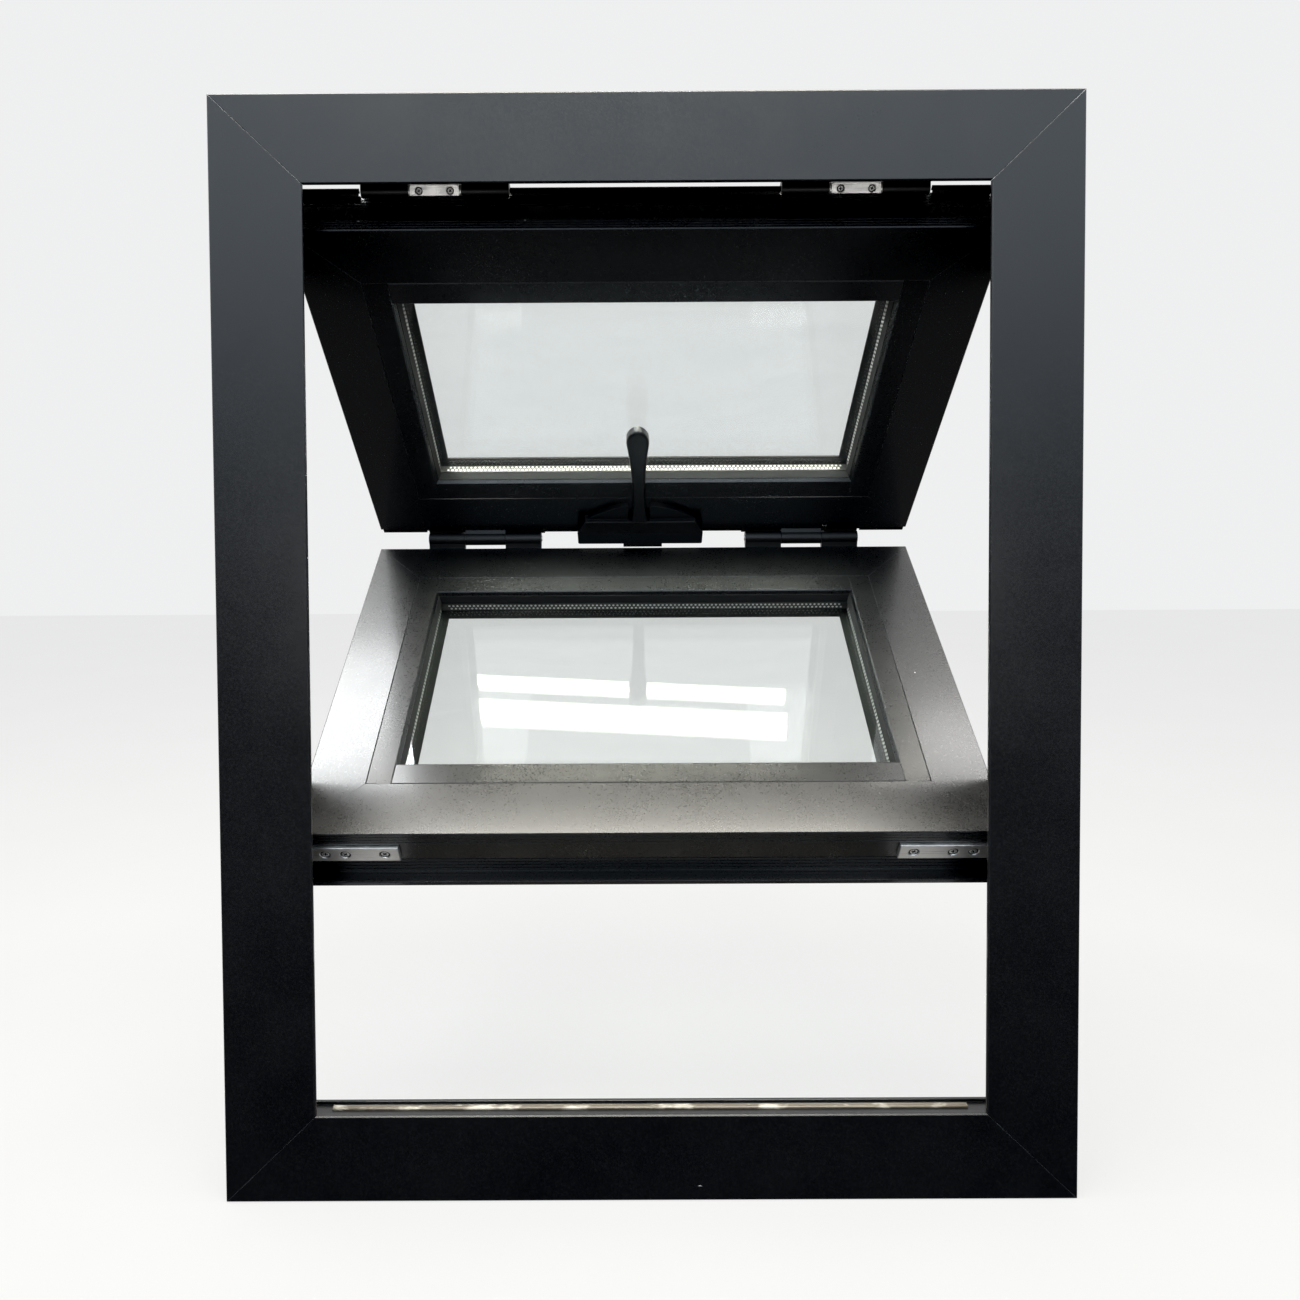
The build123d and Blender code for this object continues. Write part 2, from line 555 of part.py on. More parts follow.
export_step(lower_glazing_gaskets.part, "parts/lower_glazing_gaskets.step")

# =============================== head hinges ======================================
HEAD_AXIS = Plane(origin=(HEAD_HINGE_X, HINGE_Y, HINGE_Z), x_dir=(0, 1, 0), z_dir=X)

# frame leaf: plate on the outside of the head with the two outer knuckles
with BuildPart() as head_hinge_right_frame_leaf:
    with BuildSketch(HEAD_AXIS.offset(KNUCKLE_MID / 2 + KNUCKLE_GAP)):
        Circle(HEAD_R)
    extrude(amount=KNUCKLE)
    with BuildSketch(HEAD_AXIS.offset(-(KNUCKLE_MID / 2 + KNUCKLE_GAP))):
        Circle(HEAD_R)
    extrude(amount=-KNUCKLE)
    with BuildSketch(Plane.XZ.offset(-Y_OUT)):
        with Locations((HEAD_HINGE_X, HINGE_Z + 24.0)):
            Rectangle(HINGE_LEN, 30)
        with Locations((HEAD_HINGE_X - HINGE_LEN / 2 + KNUCKLE / 2, HINGE_Z + 5.0),
                       (HEAD_HINGE_X + HINGE_LEN / 2 - KNUCKLE / 2, HINGE_Z + 5.0)):
            Rectangle(KNUCKLE, 10)
    extrude(amount=-3.5)
    with BuildSketch(HEAD_AXIS):
        Circle(BORE_R)
    extrude(amount=HINGE_LEN, both=True, mode=Mode.SUBTRACT)
    with Locations(*[Plane(origin=(HEAD_HINGE_X + dx, Y_OUT + 3.5, HINGE_Z + 27),
                           x_dir=X, z_dir=(0, 1, 0)) for dx in (-48, -16, 16, 48)]):
        CounterSinkHole(radius=2.3, counter_sink_radius=4.4, depth=3.5)
head_hinge_right_frame_leaf.part.label = "head_hinge_right_frame_leaf"
export_step(head_hinge_right_frame_leaf.part, "parts/head_hinge_right_frame_leaf.step")

with BuildPart() as head_hinge_left_frame_leaf:
    mirror(head_hinge_right_frame_leaf.part, about=Plane.YZ)
head_hinge_left_frame_leaf.part.label = "head_hinge_left_frame_leaf"
export_step(head_hinge_left_frame_leaf.part, "parts/head_hinge_left_frame_leaf.step")

# sash leaf: middle knuckle with an upright plate in front of it, facing the room, on the
# rear land of the top rail
LEAF_A = radians(61.5)                     # from the edge of the sash
LEAF_UP = U_OUT * cos(LEAF_A) + U_UP * sin(LEAF_A)
LEAF_IN = U_UP * cos(LEAF_A) - U_OUT * sin(LEAF_A)
LEAF_H = 8.4
LEAF = Plane(origin=U_O + X * HEAD_HINGE_X + U_OUT * 53.0 - U_UP * CHANNEL, x_dir=X, z_dir=LEAF_IN)

with BuildPart() as head_hinge_right_sash_leaf:
    with BuildSketch(HEAD_AXIS.offset(-KNUCKLE_MID / 2)):
        Circle(HEAD_R)
    extrude(amount=KNUCKLE_MID)
    with BuildSketch(U_SECTION.offset(HEAD_HINGE_X)):
        with BuildLine():
            Polyline((53.0, -CHANNEL), (54.0, -CHANNEL), (60.0, -2.0), (60.5, 1.0), (58.4, 5.3),
                     (53.0 + LEAF_H * cos(LEAF_A), LEAF_H * sin(LEAF_A) - CHANNEL), close=True)
        make_face()
    extrude(amount=21.25, both=True)
    # rounded upper corners
    with BuildSketch(LEAF.offset(0.5)):
        for side in (-1, 1):
            with Locations((side * 20.0, LEAF_H - 1.25)):
                Rectangle(2.5, 2.5)
            with Locations((side * 18.75, LEAF_H - 2.5)):
                Circle(2.5, mode=Mode.SUBTRACT)
    extrude(amount=-2.3, mode=Mode.SUBTRACT)
    with BuildSketch(HEAD_AXIS):
        Circle(BORE_R)
    extrude(amount=HINGE_LEN, both=True, mode=Mode.SUBTRACT)
    with Locations(*[Plane(origin=LEAF.origin + X * dx + LEAF_UP * 3.9, x_dir=X, z_dir=LEAF_IN) for dx in (-13.5, 13.5)]):
        CounterSinkHole(radius=1.8, counter_sink_radius=3.5, depth=2.6)
head_hinge_right_sash_leaf.part.label = "head_hinge_right_sash_leaf"
export_step(head_hinge_right_sash_leaf.part, "parts/head_hinge_right_sash_leaf.step")

with BuildPart() as head_hinge_left_sash_leaf:
    mirror(head_hinge_right_sash_leaf.part, about=Plane.YZ)
head_hinge_left_sash_leaf.part.label = "head_hinge_left_sash_leaf"
export_step(head_hinge_left_sash_leaf.part, "parts/head_hinge_left_sash_leaf.step")

with BuildPart() as head_hinge_pins:
    with BuildSketch(HEAD_AXIS):
        Circle(PIN_R)
    extrude(amount=HINGE_LEN / 2 + 1, both=True)
    mirror(about=Plane.YZ)
head_hinge_pins.part.label = "head_hinge_pins"
export_step(head_hinge_pins.part, "parts/head_hinge_pins.step")

# =============================== fold hinges ======================================
FOLD_AXIS = Plane(origin=(FOLD_HINGE_X, fold[0], fold[1]), x_dir=(0, 1, 0), z_dir=X)
WEB = [(1.0, 2.0), (8.0, 2.0), (0.0, 15.0), (-8.0, 6.0)]

# upper leaf: plate under the upper sash with the middle knuckle
with BuildPart() as fold_hinge_right_upper_leaf:
    with BuildSketch(FOLD_AXIS.offset(-KNUCKLE_MID / 2)):
        Circle(FOLD_R)
    extrude(amount=KNUCKLE_MID)
    with BuildSketch(U_SECTION.offset(FOLD_HINGE_X)):
        with BuildLine():
            Polyline(*[(n, -SASH_H - w) for n, w in WEB], close=True)
        make_face()
    extrude(amount=KNUCKLE_MID / 2, both=True)
    with BuildSketch(U_SECTION.offset(FOLD_HINGE_X)):
        with Locations((7.25, -SASH_H - 1.5)):
            Rectangle(12.5, 3.0)
        with Locations((11.0, -SASH_H - 8.5)):
            Rectangle(5.0, 17.0)
    extrude(amount=HINGE_LEN / 2 + 3.0, both=True)
    with BuildSketch(U_SECTION.offset(NOTCH_X)):
        with Locations((7.0, -SASH_H - 6.0)):
            Rectangle(14.0, 12.0)
    extrude(amount=2.5, both=True, mode=Mode.SUBTRACT)
    with BuildSketch(FOLD_AXIS):
        Circle(BORE_R)
    extrude(amount=HINGE_LEN, both=True, mode=Mode.SUBTRACT)
fold_hinge_right_upper_leaf.part.label = "fold_hinge_right_upper_leaf"
export_step(fold_hinge_right_upper_leaf.part, "parts/fold_hinge_right_upper_leaf.step")

with BuildPart() as fold_hinge_left_upper_leaf:
    mirror(fold_hinge_right_upper_leaf.part, about=Plane.YZ)
fold_hinge_left_upper_leaf.part.label = "fold_hinge_left_upper_leaf"
export_step(fold_hinge_left_upper_leaf.part, "parts/fold_hinge_left_upper_leaf.step")

# lower leaf: plate on the lower sash with the two outer knuckles
OUT_MID = (HINGE_LEN - KNUCKLE) / 2
with BuildPart() as fold_hinge_right_lower_leaf:
    with BuildSketch(FOLD_AXIS.offset(OUT_MID)):
        Circle(FOLD_R)
    extrude(amount=KNUCKLE / 2, both=True)
    with BuildSketch(FOLD_AXIS.offset(-OUT_MID)):
        Circle(FOLD_R)
    extrude(amount=KNUCKLE / 2, both=True)
    with BuildSketch(L_SECTION.offset(FOLD_HINGE_X + OUT_MID)):
        with BuildLine():
            Polyline(*[(n, w) for n, w in WEB], close=True)
        make_face()
        with Locations((7.25, 1.5)):
            Rectangle(12.5, 3.0)
    extrude(amount=KNUCKLE / 2, both=True)
    with BuildSketch(L_SECTION.offset(FOLD_HINGE_X - OUT_MID)):
        with BuildLine():
            Polyline(*[(n, w) for n, w in WEB], close=True)
        make_face()
        with Locations((7.25, 1.5)):
            Rectangle(12.5, 3.0)
    extrude(amount=KNUCKLE / 2, both=True)
    with BuildSketch(L_SECTION.offset(FOLD_HINGE_X)):
        with Locations((9.75, 1.5)):
            Rectangle(7.5, 3.0)
    extrude(amount=HINGE_LEN / 2, both=True)
    with BuildSketch(FOLD_AXIS):
        Circle(BORE_R)
    extrude(amount=HINGE_LEN, both=True, mode=Mode.SUBTRACT)
fold_hinge_right_lower_leaf.part.label = "fold_hinge_right_lower_leaf"
export_step(fold_hinge_right_lower_leaf.part, "parts/fold_hinge_right_lower_leaf.step")

with BuildPart() as fold_hinge_left_lower_leaf:
    mirror(fold_hinge_right_lower_leaf.part, about=Plane.YZ)
fold_hinge_left_lower_leaf.part.label = "fold_hinge_left_lower_leaf"
export_step(fold_hinge_left_lower_leaf.part, "parts/fold_hinge_left_lower_leaf.step")

with BuildPart() as fold_hinge_pins:
    with BuildSketch(FOLD_AXIS):
        Circle(PIN_R)
    extrude(amount=HINGE_LEN / 2 + 1, both=True)
    mirror(about=Plane.YZ)
fold_hinge_pins.part.label = "fold_hinge_pins"
export_step(fold_hinge_pins.part, "parts/fold_hinge_pins.step")

# =============================== handle ===========================================
BASE_TOP = -364.0
BASE_LOW = -395.6
FAIR_X = HANDLE_X + 1.5

with BuildPart() as handle_base:
    # sloped front above, shadow groove, upright front below
    with BuildSketch(U_SECTION.offset(HANDLE_X)):
        with BuildLine():
            Polyline((0, BASE_TOP), (-10.2, BASE_TOP), (-10.7, BASE_TOP - 0.5), (-BASE_P, BASE_TOP - 11.0),
                     (-BASE_P, BASE_TOP - 12.0), (1.0 - BASE_P, BASE_TOP - 12.6),
                     (1.0 - BASE_P, BASE_LOW + 1.0), (2.0 - BASE_P, BASE_LOW), (0, BASE_LOW), close=True)
        make_face()
    extrude(amount=BASE_W / 2, both=True)
    # upper corners cut off at both ends, lower corners eased
    with BuildSketch(U_FACE):
        for side in (-1, 1):
            end = HANDLE_X + side * BASE_W / 2
            with BuildLine():
                Polyline((end, BASE_TOP), (end - side * 9.0, BASE_TOP), (end, BASE_TOP - 11.0), close=True)
            make_face()
            with BuildLine():
                Polyline((end, BASE_LOW), (end - side * 2.5, BASE_LOW), (end, BASE_LOW + 2.5), close=True)
            make_face()
    extrude(amount=BASE_P + 5.0, mode=Mode.SUBTRACT)
    # low arched fairing behind the lever, with a slot for it
    with BuildSketch(U_FACE):
        with BuildLine():
            ThreePointArc((FAIR_X - 64, BASE_TOP - 3), (FAIR_X, BASE_TOP + 22.4), (FAIR_X + 64, BASE_TOP - 3))
            Polyline((FAIR_X + 64, BASE_TOP - 3), (FAIR_X + 64, BASE_TOP - 7), (FAIR_X - 64, BASE_TOP - 7),
                     (FAIR_X - 64, BASE_TOP - 3))
        make_face()
    extrude(amount=6.0)
    with BuildSketch(U_FACE):
        with Locations((HANDLE_X - 1.2, BASE_TOP + 20)):
            Rectangle(24.0, 40.0)
    extrude(amount=8.0, mode=Mode.SUBTRACT)
    # spindle boss below the base
    with BuildSketch(U_FACE.offset(9)):
        with Locations((HANDLE_X + 3, BASE_LOW - 1.5)):
            Rectangle(44, 8.0)
    extrude(amount=7.0)
handle_base.part.label = "handle_base"
export_step(handle_base.part, "parts/handle_base.step")

# outline of the lever: half width and distance below the top edge; it leans a little to the left
# and stands further off the sash towards its tip
LEVER_FOOT = 363.2
LEVER_TIP = 217.0
LEVER = [(10.4, LEVER_FOOT), (8.0, 350.0), (7.0, 330.0), (6.9, 305.0), (8.5, 269.0), (11.0, 242.0), (9.7, 225.0)]
LEVER_TILT = radians(3.15)
LEVER_FACE = Plane(origin=U_O + U_UP * BASE_TOP - U_OUT * 1.0, x_dir=X,
                   z_dir=-U_OUT * cos(LEVER_TILT) - U_UP * sin(LEVER_TILT))


def lean(v):
    return 0.6 + 2.6 * (LEVER_FOOT - v) / (LEVER_FOOT - LEVER_TIP)


with BuildPart() as handle_lever:
    with BuildSketch(LEVER_FACE):
        with BuildLine():
            Spline(*[(HANDLE_X - lean(v) - hw, -BASE_TOP - v) for hw, v in LEVER],
                   (HANDLE_X - lean(LEVER_TIP), -BASE_TOP - LEVER_TIP),
                   *[(HANDLE_X - lean(v) + hw, -BASE_TOP - v) for hw, v in reversed(LEVER)],
                   tangents=((0.3, 1), (0.3, -1)))
            Line((HANDLE_X - lean(LEVER_FOOT) + LEVER[0][0], -BASE_TOP - LEVER_FOOT),
                 (HANDLE_X - lean(LEVER_FOOT) - LEVER[0][0], -BASE_TOP - LEVER_FOOT))
        make_face()
    extrude(amount=9.5)
    fillet(handle_lever.faces().sort_by(Axis(LEVER_FACE.origin, LEVER_FACE.z_dir))[-1].edges()
           .sort_by(Axis(U_O, U_UP))[1:], radius=3.0)
handle_lever.part.label = "handle_lever"
export_step(handle_lever.part, "parts/handle_lever.step")

# =============================== guides ===========================================
# plate on the bottom edge of the lower sash, in its hardware channel
EDGE = Plane(origin=L_O - L_UP * (SASH_H - CHANNEL), x_dir=X, z_dir=-L_UP)
pin_c = L_O - L_UP * (SASH_H - PIN_W) + L_OUT * PLATE_N
PIN_PLANE = Plane(origin=(PLATE_END, pin_c.Y, pin_c.Z), x_dir=(0, 1, 0), z_dir=X)

with BuildPart() as right_guide_plate:
    with BuildSketch(EDGE):
        with Locations(((PLATE_IN + PLATE_END) / 2, -PLATE_N)):
            Rectangle(PLATE_END - PLATE_IN, PLATE_W)
    extrude(amount=PLATE_T)
    chamfer(right_guide_plate.faces().sort_by(Axis(L_O, -L_UP))[-1].edges(), length=0.6)
    with Locations(*[Plane(origin=EDGE.origin + X * sx + L_OUT * PLATE_N - L_UP * PLATE_T,
                           x_dir=X, z_dir=-L_UP) for sx in SCREWS_X]):
        CounterSinkHole(radius=2.4, counter_sink_radius=4.9, depth=PLATE_T)
    # guide pin
    with BuildSketch(PIN_PLANE):
        Circle(1.9)
    extrude(amount=12.5)
right_guide_plate.part.label = "right_guide_plate"
export_step(right_guide_plate.part, "parts/right_guide_plate.step")

with BuildPart() as left_guide_plate:
    mirror(right_guide_plate.part, about=Plane.YZ)
left_guide_plate.part.label = "left_guide_plate"
export_step(left_guide_plate.part, "parts/left_guide_plate.step")

with BuildPart() as guide_rollers:
    with BuildSketch(PIN_PLANE.offset(3.0)):
        Circle(5.5)
        Circle(2.1, mode=Mode.SUBTRACT)
    extrude(amount=9.0)
    mirror(about=Plane.YZ)
guide_rollers.part.label = "guide_rollers"
export_step(guide_rollers.part, "parts/guide_rollers.step")
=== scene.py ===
import json
import math
import random

import bmesh
import bpy
from mathutils import Matrix, Vector

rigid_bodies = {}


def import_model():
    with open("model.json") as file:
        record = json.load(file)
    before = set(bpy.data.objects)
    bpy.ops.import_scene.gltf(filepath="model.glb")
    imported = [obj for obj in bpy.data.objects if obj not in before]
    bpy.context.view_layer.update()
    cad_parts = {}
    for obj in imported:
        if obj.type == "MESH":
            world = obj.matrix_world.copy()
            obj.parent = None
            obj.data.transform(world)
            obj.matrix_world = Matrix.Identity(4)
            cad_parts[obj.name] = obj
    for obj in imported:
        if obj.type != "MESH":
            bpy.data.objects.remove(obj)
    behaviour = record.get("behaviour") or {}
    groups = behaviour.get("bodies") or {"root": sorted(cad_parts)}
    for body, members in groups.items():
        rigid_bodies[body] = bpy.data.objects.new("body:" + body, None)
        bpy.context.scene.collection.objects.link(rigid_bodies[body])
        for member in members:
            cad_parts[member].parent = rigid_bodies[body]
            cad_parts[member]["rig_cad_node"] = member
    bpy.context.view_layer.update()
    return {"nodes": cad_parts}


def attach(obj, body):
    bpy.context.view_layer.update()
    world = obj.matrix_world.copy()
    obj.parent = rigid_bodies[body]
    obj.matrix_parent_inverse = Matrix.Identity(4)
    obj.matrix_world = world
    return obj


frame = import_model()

nodes = frame["nodes"]
scene = bpy.context.scene
MM = 0.001

# --- where things are, from the same driving sizes as the part (mm) -----------------
SASH_W, SASH_H = 602.0, 388.0
HALF = SASH_W / 2
Y_IN = -32.0
INNER_Y = Y_IN + 10.0
SASH_TOP = 900.0 - 71.25 + 20.0
SASH_BOT = SASH_TOP - 2 * SASH_H - 22.0
HINGE_Y, HINGE_Z = INNER_Y + 60.5, SASH_TOP - 2.2
OPEN = math.radians(50.5)


def turned(y, z, cy, cz, a):
    dy, dz = y - cy, z - cz
    return cy + dy * math.cos(a) - dz * math.sin(a), cz + dy * math.sin(a) + dz * math.cos(a)


fold_shut = (INNER_Y - 5.0, SASH_TOP - SASH_H - 11.0)
fold = turned(*fold_shut, HINGE_Y, HINGE_Z, OPEN)
reach_y = INNER_Y + 25.0 - fold_shut[0]
reach_z = fold_shut[1] - (SASH_BOT - 0.5)
LEAN = math.acos((Y_IN + 35.0 - fold[0]) / math.hypot(reach_y, reach_z)) - math.atan2(reach_z, reach_y)
upper_top = turned(INNER_Y, SASH_TOP, HINGE_Y, HINGE_Z, OPEN)
low_dy = INNER_Y - fold_shut[0]
low_dz = SASH_BOT + SASH_H - fold_shut[1]
lower_top = (
    fold[0] + low_dy * math.cos(LEAN) + low_dz * math.sin(LEAN),
    fold[1] - low_dy * math.sin(LEAN) + low_dz * math.cos(LEAN),
)
X = Vector((1, 0, 0))
U_OUT = Vector((0, math.cos(OPEN), math.sin(OPEN)))
U_UP = Vector((0, -math.sin(OPEN), math.cos(OPEN)))
U_O = Vector((0, *upper_top))
L_OUT = Vector((0, math.cos(LEAN), -math.sin(LEAN)))
L_UP = Vector((0, math.sin(LEAN), math.cos(LEAN)))
L_O = Vector((0, *lower_top))


def on_upper(x, v, n):
    """Point of the upper sash: x across, v below the top edge, n behind the room face; metres."""
    return (U_O + X * x - U_UP * v + U_OUT * n) * MM


def on_lower(x, v, n):
    return (L_O + X * x - L_UP * v + L_OUT * n) * MM


# --- node helpers -------------------------------------------------------------------
class Mat:
    """A material with one Principled shader and short names for the nodes behind it."""

    def __init__(self, name):
        self.mat = bpy.data.materials.new(name)
        self.mat.use_nodes = True
        self.nt = self.mat.node_tree
        self.nt.nodes.clear()
        self.out = self.nt.nodes.new("ShaderNodeOutputMaterial")
        self.p = self.nt.nodes.new("ShaderNodeBsdfPrincipled")
        self.nt.links.new(self.p.outputs[0], self.out.inputs[0])
        self.tc = self.nt.nodes.new("ShaderNodeTexCoord")

    def set(self, **values):
        for k, v in values.items():
            self.p.inputs[k.replace("_", " ")].default_value = v

    def link(self, socket, name):
        self.nt.links.new(socket, self.p.inputs[name])

    def feed(self, node, index, value):
        if isinstance(value, bpy.types.NodeSocket):
            self.nt.links.new(value, node.inputs[index])
        else:
            node.inputs[index].default_value = value

    def coords(self, scale=(1, 1, 1), rot=(0, 0, 0), loc=(0, 0, 0)):
        m = self.nt.nodes.new("ShaderNodeMapping")
        self.nt.links.new(self.tc.outputs["Object"], m.inputs["Vector"])
        m.inputs["Location"].default_value = loc
        m.inputs["Rotation"].default_value = rot
        m.inputs["Scale"].default_value = scale
        return m.outputs[0]

    def noise(self, vec, scale, detail=2.0, rough=0.5, dist=0.0):
        n = self.nt.nodes.new("ShaderNodeTexNoise")
        self.nt.links.new(vec, n.inputs["Vector"])
        n.inputs["Scale"].default_value = scale
        n.inputs["Detail"].default_value = detail
        n.inputs["Roughness"].default_value = rough
        n.inputs["Distortion"].default_value = dist
        return n.outputs["Fac"]

    def voronoi(self, vec, scale, feature="F1", rand=1.0):
        n = self.nt.nodes.new("ShaderNodeTexVoronoi")
        n.feature = feature
        self.nt.links.new(vec, n.inputs["Vector"])
        n.inputs["Scale"].default_value = scale
        n.inputs["Randomness"].default_value = rand
        return n.outputs["Distance"]

    def ramp(self, fac, *stops):
        r = self.nt.nodes.new("ShaderNodeValToRGB")
        self.nt.links.new(fac, r.inputs[0])
        e = r.color_ramp.elements
        while len(e) < len(stops):
            e.new(0.5)
        for el, (pos, col) in zip(e, stops):
            el.position = pos
            el.color = (col, col, col, 1) if isinstance(col, (int, float)) else (*col, 1)
        return r.outputs[0]

    def span(self, fac, a, b, lo=0.0, hi=1.0):
        n = self.nt.nodes.new("ShaderNodeMapRange")
        n.clamp = True
        self.nt.links.new(fac, n.inputs[0])
        for i, v in zip((1, 2, 3, 4), (a, b, lo, hi)):
            n.inputs[i].default_value = v
        return n.outputs[0]

    def math(self, op, a, b=None):
        n = self.nt.nodes.new("ShaderNodeMath")
        n.operation = op
        self.feed(n, 0, a)
        if b is not None:
            self.feed(n, 1, b)
        return n.outputs[0]

    def mix(self, fac, a, b, blend="MIX"):
        n = self.nt.nodes.new("ShaderNodeMix")
        n.data_type = "RGBA"
        n.blend_type = blend
        self.feed(n, 0, fac)
        for i, v in ((6, a), (7, b)):
            self.feed(n, i, (*v, 1) if isinstance(v, tuple) and len(v) == 3 else v)
        return n.outputs[2]

    def bump(self, height, strength, distance, normal=None):
        n = self.nt.nodes.new("ShaderNodeBump")
        n.inputs["Strength"].default_value = strength
        n.inputs["Distance"].default_value = distance
        self.nt.links.new(height, n.inputs["Height"])
        if normal is not None:
            self.nt.links.new(normal, n.inputs["Normal"])
        return n.outputs[0]

    def bevel(self, radius, samples=4):
        n = self.nt.nodes.new("ShaderNodeBevel")
        n.samples = samples
        n.inputs["Radius"].default_value = radius
        return n.outputs[0]

    def geometry(self, name):
        return self.nt.nodes.new("ShaderNodeNewGeometry").outputs[name]

    def xyz(self, vec):
        n = self.nt.nodes.new("ShaderNodeSeparateXYZ")
        self.nt.links.new(vec, n.inputs[0])
        return n.outputs

    def dot(self, a, b):
        n = self.nt.nodes.new("ShaderNodeVectorMath")
        n.operation = "DOT_PRODUCT"
        self.nt.links.new(a, n.inputs[0])
        self.nt.links.new(b, n.inputs[1])
        return n.outputs["Value"]

    def edges(self, radius, lo, hi):
        """1 along convex and concave edges, 0 on the flats."""
        d = self.dot(self.bevel(radius), self.geometry("Normal"))
        return self.span(d, 1.0 - lo, 1.0 - hi)


def coat(name, base, pale, rough, grain=1.0, dust=0.0, edge=0.35, gloss=0.4, gloss_rough=0.10):
    """Fine-texture powder coat on aluminium: pebbled skin under a thin gloss, handling marks, lighter edges that are
    partly rubbed wear and partly a painted edge highlight.
    """
    m = Mat(name)
    o = m.coords()
    fine = m.noise(o, 640, 1.0, 0.5)
    pebble = m.noise(o, 260, 1.0, 0.5)
    cloud = m.noise(o, 14, 3.0, 0.55, 0.3)
    hands = m.noise(m.coords(rot=(0.3, 0.2, 0.5)), 30, 2.0, 0.5, 0.4)
    tone = m.mix(m.span(cloud, 0.3, 0.72), base, pale)
    tone = m.mix(m.span(fine, 0.58, 0.75, 0.0, 0.30), tone, tuple(2.0 * c for c in pale))
    # lighter edges: rubbed wear plus a painted edge highlight; edge sets how strong it is
    rubbed_and_highlit_edges = m.math("MULTIPLY", m.edges(0.0007, 0.02, 0.22), m.span(hands, 0.35, 0.65, 0.25, 1.0))
    tone = m.mix(m.math("MULTIPLY", rubbed_and_highlit_edges, edge), tone, (0.10, 0.105, 0.115))
    if dust:
        up = m.span(m.xyz(m.geometry("Normal"))[2], 0.25, 0.9)
        specks = m.span(m.noise(o, 420, 3.0, 0.7), 0.56, 0.78)
        film = m.math("MULTIPLY", up, m.math("ADD", m.math("MULTIPLY", specks, 0.7), m.span(cloud, 0.35, 0.7, 0.0, 0.4)))
        tone = m.mix(m.math("MULTIPLY", film, dust), tone, (0.10, 0.097, 0.09))
    m.link(tone, "Base Color")
    smear = m.math("ADD", m.span(hands, 0.2, 0.8, -0.012, 0.012), m.span(cloud, 0.25, 0.75, -0.022, 0.022))
    smear = m.math("ADD", smear, m.span(fine, 0.25, 0.75, -0.05, 0.05))
    m.link(m.math("ADD", smear, rough), "Roughness")
    m.set(Coat_Weight=gloss, Coat_Roughness=gloss_rough)
    n = m.bump(pebble, 0.02 * grain, 0.0002, m.bevel(0.0005))
    m.link(m.bump(fine, 0.05 * grain, 0.0002, n), "Normal")
    return m.mat


def steel(name):
    """Brushed stainless plate: grain along X, fine scratches, duller patches."""
    m = Mat(name)
    grain = m.noise(m.coords(scale=(40, 2600, 2600)), 1.0, 3.0, 0.6)
    scratch = m.span(m.noise(m.coords(scale=(18, 900, 900), rot=(0, 0, 0.05)), 1.0, 2.0, 0.5, 0.6), 0.62, 0.7)
    patch = m.noise(m.coords(), 90, 3.0, 0.6, 0.5)
    tone = m.mix(m.span(patch, 0.3, 0.7), (0.86, 0.84, 0.80), (0.96, 0.95, 0.92))
    tone = m.mix(m.math("MULTIPLY", scratch, 0.5), tone, (0.42, 0.415, 0.40))
    m.link(tone, "Base Color")
    m.link(m.math("ADD", m.span(grain, 0.3, 0.7, 0.32, 0.46), m.span(patch, 0.4, 0.7, 0.0, 0.08)), "Roughness")
    m.set(Metallic=1.0)
    m.link(m.bump(grain, 0.08, 0.00008, m.bevel(0.0003)), "Normal")
    return m.mat


def rubber(name, base, pale, rough):
    m = Mat(name)
    o = m.coords()
    fine = m.noise(o, 1800, 2.0, 0.6)
    drag = m.noise(m.coords(scale=(14, 260, 260)), 1.0, 3.0, 0.6)
    m.link(m.mix(m.span(drag, 0.35, 0.7), base, pale), "Base Color")
    m.link(m.math("ADD", m.span(fine, 0.3, 0.7, -0.06, 0.06), rough), "Roughness")
    m.set(Specular_IOR_Level=0.3)
    m.link(m.bump(fine, 0.12, 0.0001, m.bevel(0.0005)), "Normal")
    return m.mat


def spacer_bar(name):
    """Grey aluminium spacer between the panes."""
    m = Mat(name)
    o = m.coords()
    roll = m.noise(m.coords(scale=(20, 900, 900)), 1.0, 3.0, 0.6)
    tone = m.mix(m.span(roll, 0.3, 0.7), (0.07, 0.069, 0.067), (0.12, 0.118, 0.114))
    m.link(tone, "Base Color")
    m.set(Metallic=0.85)
    m.link(m.span(roll, 0.25, 0.75, 0.34, 0.50), "Roughness")
    m.link(m.bump(roll, 0.1, 0.0001), "Normal")
    return m.mat


def glass(name):
    """Clear float glass with a faint green body; lamps pass through it."""
    m = Mat(name)
    o = m.coords()
    wipe = m.noise(m.coords(scale=(9, 30, 30), rot=(0.1, 0.2, 0.5)), 1.0, 4.0, 0.65, 1.0)
    m.link(m.mix(m.span(wipe, 0.4, 0.75), (0.955, 0.972, 0.965), (0.925, 0.945, 0.94)), "Base Color")
    m.link(m.span(wipe, 0.45, 0.8, 0.0, 0.035), "Roughness")
    m.set(Transmission_Weight=1.0, IOR=1.5)
    clear = m.nt.nodes.new("ShaderNodeBsdfTransparent")
    clear.inputs[0].default_value = (0.93, 0.955, 0.945, 1)
    path = m.nt.nodes.new("ShaderNodeLightPath")
    both = m.nt.nodes.new("ShaderNodeMixShader")
    m.nt.links.new(path.outputs["Is Shadow Ray"], both.inputs[0])
    m.nt.links.new(m.p.outputs[0], both.inputs[1])
    m.nt.links.new(clear.outputs[0], both.inputs[2])
    m.nt.links.new(both.outputs[0], m.out.inputs[0])
    return m.mat


